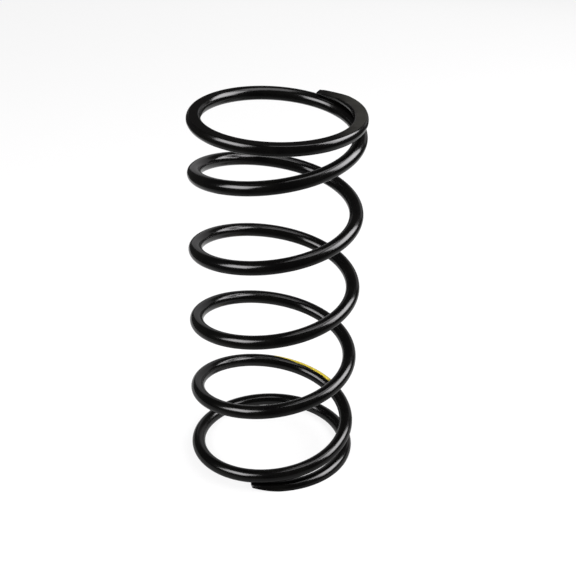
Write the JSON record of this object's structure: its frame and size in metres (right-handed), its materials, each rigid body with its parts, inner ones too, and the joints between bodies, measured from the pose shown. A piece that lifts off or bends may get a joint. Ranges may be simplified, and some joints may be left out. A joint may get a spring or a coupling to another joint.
{
  "type": "coil spring",
  "caption": "Helical compression spring of round wire, right-hand wound, with closed and ground ends, gloss black coat and a yellow paint stripe.",
  "frame": {"origin": "on the coil's axis, in the plane of the lower ground face", "axes": "+Z along the coil's axis from the lower end to the upper end; +X to the right and +Y to the back with the paint stripe at the back right"},
  "size_m": [0.149, 0.149, 0.3283],
  "materials": {
    "black_coat": "gloss black powder coat with a slight orange peel",
    "yellow_paint": "semi-gloss identification paint, brushed on"
  },
  "bodies": {
    "lower_end": {"lower_end_coil": "black_coat", "coil_1_back_left": "black_coat", "coil_1_left": "black_coat", "coil_1_front_left": "black_coat", "coil_2_front": "black_coat"},
    "coil_2_front_right": {"coil_2_front_right": "black_coat"},
    "coil_2_right": {"coil_2_right": "black_coat"},
    "coil_2_back_right": {"coil_2_back_right": "black_coat", "paint_stripe": "yellow_paint"},
    "coil_2_back": {"coil_2_back": "black_coat"},
    "coil_2_back_left": {"coil_2_back_left": "black_coat"},
    "coil_2_left": {"coil_2_left": "black_coat"},
    "coil_2_front_left": {"coil_2_front_left": "black_coat"},
    "coil_3_front": {"coil_3_front": "black_coat"},
    "coil_3_front_right": {"coil_3_front_right": "black_coat"},
    "coil_3_right": {"coil_3_right": "black_coat"},
    "coil_3_back_right": {"coil_3_back_right": "black_coat"},
    "coil_3_back": {"coil_3_back": "black_coat"},
    "coil_3_back_left": {"coil_3_back_left": "black_coat"},
    "coil_3_left": {"coil_3_left": "black_coat"},
    "coil_3_front_left": {"coil_3_front_left": "black_coat"},
    "coil_4_front": {"coil_4_front": "black_coat"},
    "coil_4_front_right": {"coil_4_front_right": "black_coat"},
    "coil_4_right": {"coil_4_right": "black_coat"},
    "coil_4_back_right": {"coil_4_back_right": "black_coat"},
    "coil_4_back": {"coil_4_back": "black_coat"},
    "coil_4_back_left": {"coil_4_back_left": "black_coat"},
    "coil_4_left": {"coil_4_left": "black_coat"},
    "coil_4_front_left": {"coil_4_front_left": "black_coat"},
    "coil_5_front": {"coil_5_front": "black_coat"},
    "coil_5_front_right": {"coil_5_front_right": "black_coat"},
    "coil_5_right": {"coil_5_right": "black_coat"},
    "coil_5_back_right": {"coil_5_back_right": "black_coat"},
    "coil_5_back": {"coil_5_back": "black_coat"},
    "coil_5_back_left": {"coil_5_back_left": "black_coat"},
    "coil_5_left": {"coil_5_left": "black_coat"},
    "coil_5_front_left": {"coil_5_front_left": "black_coat"},
    "coil_6_front": {"coil_6_front": "black_coat"},
    "coil_6_front_right": {"coil_6_front_right": "black_coat"},
    "coil_6_right": {"coil_6_right": "black_coat"},
    "upper_end": {"upper_end_coil": "black_coat", "coil_6_back_right": "black_coat", "coil_6_back": "black_coat", "coil_6_back_left": "black_coat", "coil_6_left": "black_coat"}
  },
  "joints": [
    {"name": "compression", "type": "slide", "parent": "lower_end", "child": "upper_end", "axis": [0, 0, 1], "range_m": [-0.19, 0], "stiffness_N_per_m": 17500},
    {"name": "follow_coil_2_front_right", "type": "slide", "parent": "lower_end", "child": "coil_2_front_right", "axis": [0, 0, 1], "range_m": [-0.0016, 0]},
    {"name": "follow_coil_2_right", "type": "slide", "parent": "lower_end", "child": "coil_2_right", "axis": [0, 0, 1], "range_m": [-0.0037, 0]},
    {"name": "follow_coil_2_back_right", "type": "slide", "parent": "lower_end", "child": "coil_2_back_right", "axis": [0, 0, 1], "range_m": [-0.0067, 0]},
    {"name": "follow_coil_2_back", "type": "slide", "parent": "lower_end", "child": "coil_2_back", "axis": [0, 0, 1], "range_m": [-0.0105, 0]},
    {"name": "follow_coil_2_back_left", "type": "slide", "parent": "lower_end", "child": "coil_2_back_left", "axis": [0, 0, 1], "range_m": [-0.0149, 0]},
    {"name": "follow_coil_2_left", "type": "slide", "parent": "lower_end", "child": "coil_2_left", "axis": [0, 0, 1], "range_m": [-0.02, 0]},
    {"name": "follow_coil_2_front_left", "type": "slide", "parent": "lower_end", "child": "coil_2_front_left", "axis": [0, 0, 1], "range_m": [-0.0256, 0]},
    {"name": "follow_coil_3_front", "type": "slide", "parent": "lower_end", "child": "coil_3_front", "axis": [0, 0, 1], "range_m": [-0.0316, 0]},
    {"name": "follow_coil_3_front_right", "type": "slide", "parent": "lower_end", "child": "coil_3_front_right", "axis": [0, 0, 1], "range_m": [-0.038, 0]},
    {"name": "follow_coil_3_right", "type": "slide", "parent": "lower_end", "child": "coil_3_right", "axis": [0, 0, 1], "range_m": [-0.0448, 0]},
    {"name": "follow_coil_3_back_right", "type": "slide", "parent": "lower_end", "child": "coil_3_back_right", "axis": [0, 0, 1], "range_m": [-0.0516, 0]},
    {"name": "follow_coil_3_back", "type": "slide", "parent": "lower_end", "child": "coil_3_back", "axis": [0, 0, 1], "range_m": [-0.0587, 0]},
    {"name": "follow_coil_3_back_left", "type": "slide", "parent": "lower_end", "child": "coil_3_back_left", "axis": [0, 0, 1], "range_m": [-0.0658, 0]},
    {"name": "follow_coil_3_left", "type": "slide", "parent": "lower_end", "child": "coil_3_left", "axis": [0, 0, 1], "range_m": [-0.0729, 0]},
    {"name": "follow_coil_3_front_left", "type": "slide", "parent": "lower_end", "child": "coil_3_front_left", "axis": [0, 0, 1], "range_m": [-0.08, 0]},
    {"name": "follow_coil_4_front", "type": "slide", "parent": "lower_end", "child": "coil_4_front", "axis": [0, 0, 1], "range_m": [-0.0871, 0]},
    {"name": "follow_coil_4_front_right", "type": "slide", "parent": "lower_end", "child": "coil_4_front_right", "axis": [0, 0, 1], "range_m": [-0.0942, 0]},
    {"name": "follow_coil_4_right", "type": "slide", "parent": "lower_end", "child": "coil_4_right", "axis": [0, 0, 1], "range_m": [-0.1013, 0]},
    {"name": "follow_coil_4_back_right", "type": "slide", "parent": "lower_end", "child": "coil_4_back_right", "axis": [0, 0, 1], "range_m": [-0.1084, 0]},
    {"name": "follow_coil_4_back", "type": "slide", "parent": "lower_end", "child": "coil_4_back", "axis": [0, 0, 1], "range_m": [-0.1155, 0]},
    {"name": "follow_coil_4_back_left", "type": "slide", "parent": "lower_end", "child": "coil_4_back_left", "axis": [0, 0, 1], "range_m": [-0.1227, 0]},
    {"name": "follow_coil_4_left", "type": "slide", "parent": "lower_end", "child": "coil_4_left", "axis": [0, 0, 1], "range_m": [-0.1298, 0]},
    {"name": "follow_coil_4_front_left", "type": "slide", "parent": "lower_end", "child": "coil_4_front_left", "axis": [0, 0, 1], "range_m": [-0.1368, 0]},
    {"name": "follow_coil_5_front", "type": "slide", "parent": "lower_end", "child": "coil_5_front", "axis": [0, 0, 1], "range_m": [-0.1438, 0]},
    {"name": "follow_coil_5_front_right", "type": "slide", "parent": "lower_end", "child": "coil_5_front_right", "axis": [0, 0, 1], "range_m": [-0.1506, 0]},
    {"name": "follow_coil_5_right", "type": "slide", "parent": "lower_end", "child": "coil_5_right", "axis": [0, 0, 1], "range_m": [-0.1571, 0]},
    {"name": "follow_coil_5_back_right", "type": "slide", "parent": "lower_end", "child": "coil_5_back_right", "axis": [0, 0, 1], "range_m": [-0.1633, 0]},
    {"name": "follow_coil_5_back", "type": "slide", "parent": "lower_end", "child": "coil_5_back", "axis": [0, 0, 1], "range_m": [-0.169, 0]},
    {"name": "follow_coil_5_back_left", "type": "slide", "parent": "lower_end", "child": "coil_5_back_left", "axis": [0, 0, 1], "range_m": [-0.1743, 0]},
    {"name": "follow_coil_5_left", "type": "slide", "parent": "lower_end", "child": "coil_5_left", "axis": [0, 0, 1], "range_m": [-0.179, 0]},
    {"name": "follow_coil_5_front_left", "type": "slide", "parent": "lower_end", "child": "coil_5_front_left", "axis": [0, 0, 1], "range_m": [-0.183, 0]},
    {"name": "follow_coil_6_front", "type": "slide", "parent": "lower_end", "child": "coil_6_front", "axis": [0, 0, 1], "range_m": [-0.1862, 0]},
    {"name": "follow_coil_6_front_right", "type": "slide", "parent": "lower_end", "child": "coil_6_front_right", "axis": [0, 0, 1], "range_m": [-0.1887, 0]},
    {"name": "follow_coil_6_right", "type": "slide", "parent": "lower_end", "child": "coil_6_right", "axis": [0, 0, 1], "range_m": [-0.1901, 0]}
  ],
  "couplings": [
    {"joint": "follow_coil_2_front_right", "follows": "compression", "ratio": 0.0058},
    {"joint": "follow_coil_2_right", "follows": "compression", "ratio": 0.0168},
    {"joint": "follow_coil_2_back_right", "follows": "compression", "ratio": 0.0326},
    {"joint": "follow_coil_2_back", "follows": "compression", "ratio": 0.0524},
    {"joint": "follow_coil_2_back_left", "follows": "compression", "ratio": 0.0759},
    {"joint": "follow_coil_2_left", "follows": "compression", "ratio": 0.1027},
    {"joint": "follow_coil_2_front_left", "follows": "compression", "ratio": 0.1321},
    {"joint": "follow_coil_3_front", "follows": "compression", "ratio": 0.1639},
    {"joint": "follow_coil_3_front_right", "follows": "compression", "ratio": 0.1976},
    {"joint": "follow_coil_3_right", "follows": "compression", "ratio": 0.2329},
    {"joint": "follow_coil_3_back_right", "follows": "compression", "ratio": 0.2692},
    {"joint": "follow_coil_3_back", "follows": "compression", "ratio": 0.3063},
    {"joint": "follow_coil_3_back_left", "follows": "compression", "ratio": 0.3437},
    {"joint": "follow_coil_3_left", "follows": "compression", "ratio": 0.3812},
    {"joint": "follow_coil_3_front_left", "follows": "compression", "ratio": 0.4186},
    {"joint": "follow_coil_4_front", "follows": "compression", "ratio": 0.456},
    {"joint": "follow_coil_4_front_right", "follows": "compression", "ratio": 0.4933},
    {"joint": "follow_coil_4_right", "follows": "compression", "ratio": 0.5307},
    {"joint": "follow_coil_4_back_right", "follows": "compression", "ratio": 0.568},
    {"joint": "follow_coil_4_back", "follows": "compression", "ratio": 0.6054},
    {"joint": "follow_coil_4_back_left", "follows": "compression", "ratio": 0.6429},
    {"joint": "follow_coil_4_left", "follows": "compression", "ratio": 0.6803},
    {"joint": "follow_coil_4_front_left", "follows": "compression", "ratio": 0.7176},
    {"joint": "follow_coil_5_front", "follows": "compression", "ratio": 0.7542},
    {"joint": "follow_coil_5_front_right", "follows": "compression", "ratio": 0.7899},
    {"joint": "follow_coil_5_right", "follows": "compression", "ratio": 0.8241},
    {"joint": "follow_coil_5_back_right", "follows": "compression", "ratio": 0.8566},
    {"joint": "follow_coil_5_back", "follows": "compression", "ratio": 0.8869},
    {"joint": "follow_coil_5_back_left", "follows": "compression", "ratio": 0.9146},
    {"joint": "follow_coil_5_left", "follows": "compression", "ratio": 0.9393},
    {"joint": "follow_coil_5_front_left", "follows": "compression", "ratio": 0.9604},
    {"joint": "follow_coil_6_front", "follows": "compression", "ratio": 0.9776},
    {"joint": "follow_coil_6_front_right", "follows": "compression", "ratio": 0.9903},
    {"joint": "follow_coil_6_right", "follows": "compression", "ratio": 0.998}
  ]
}
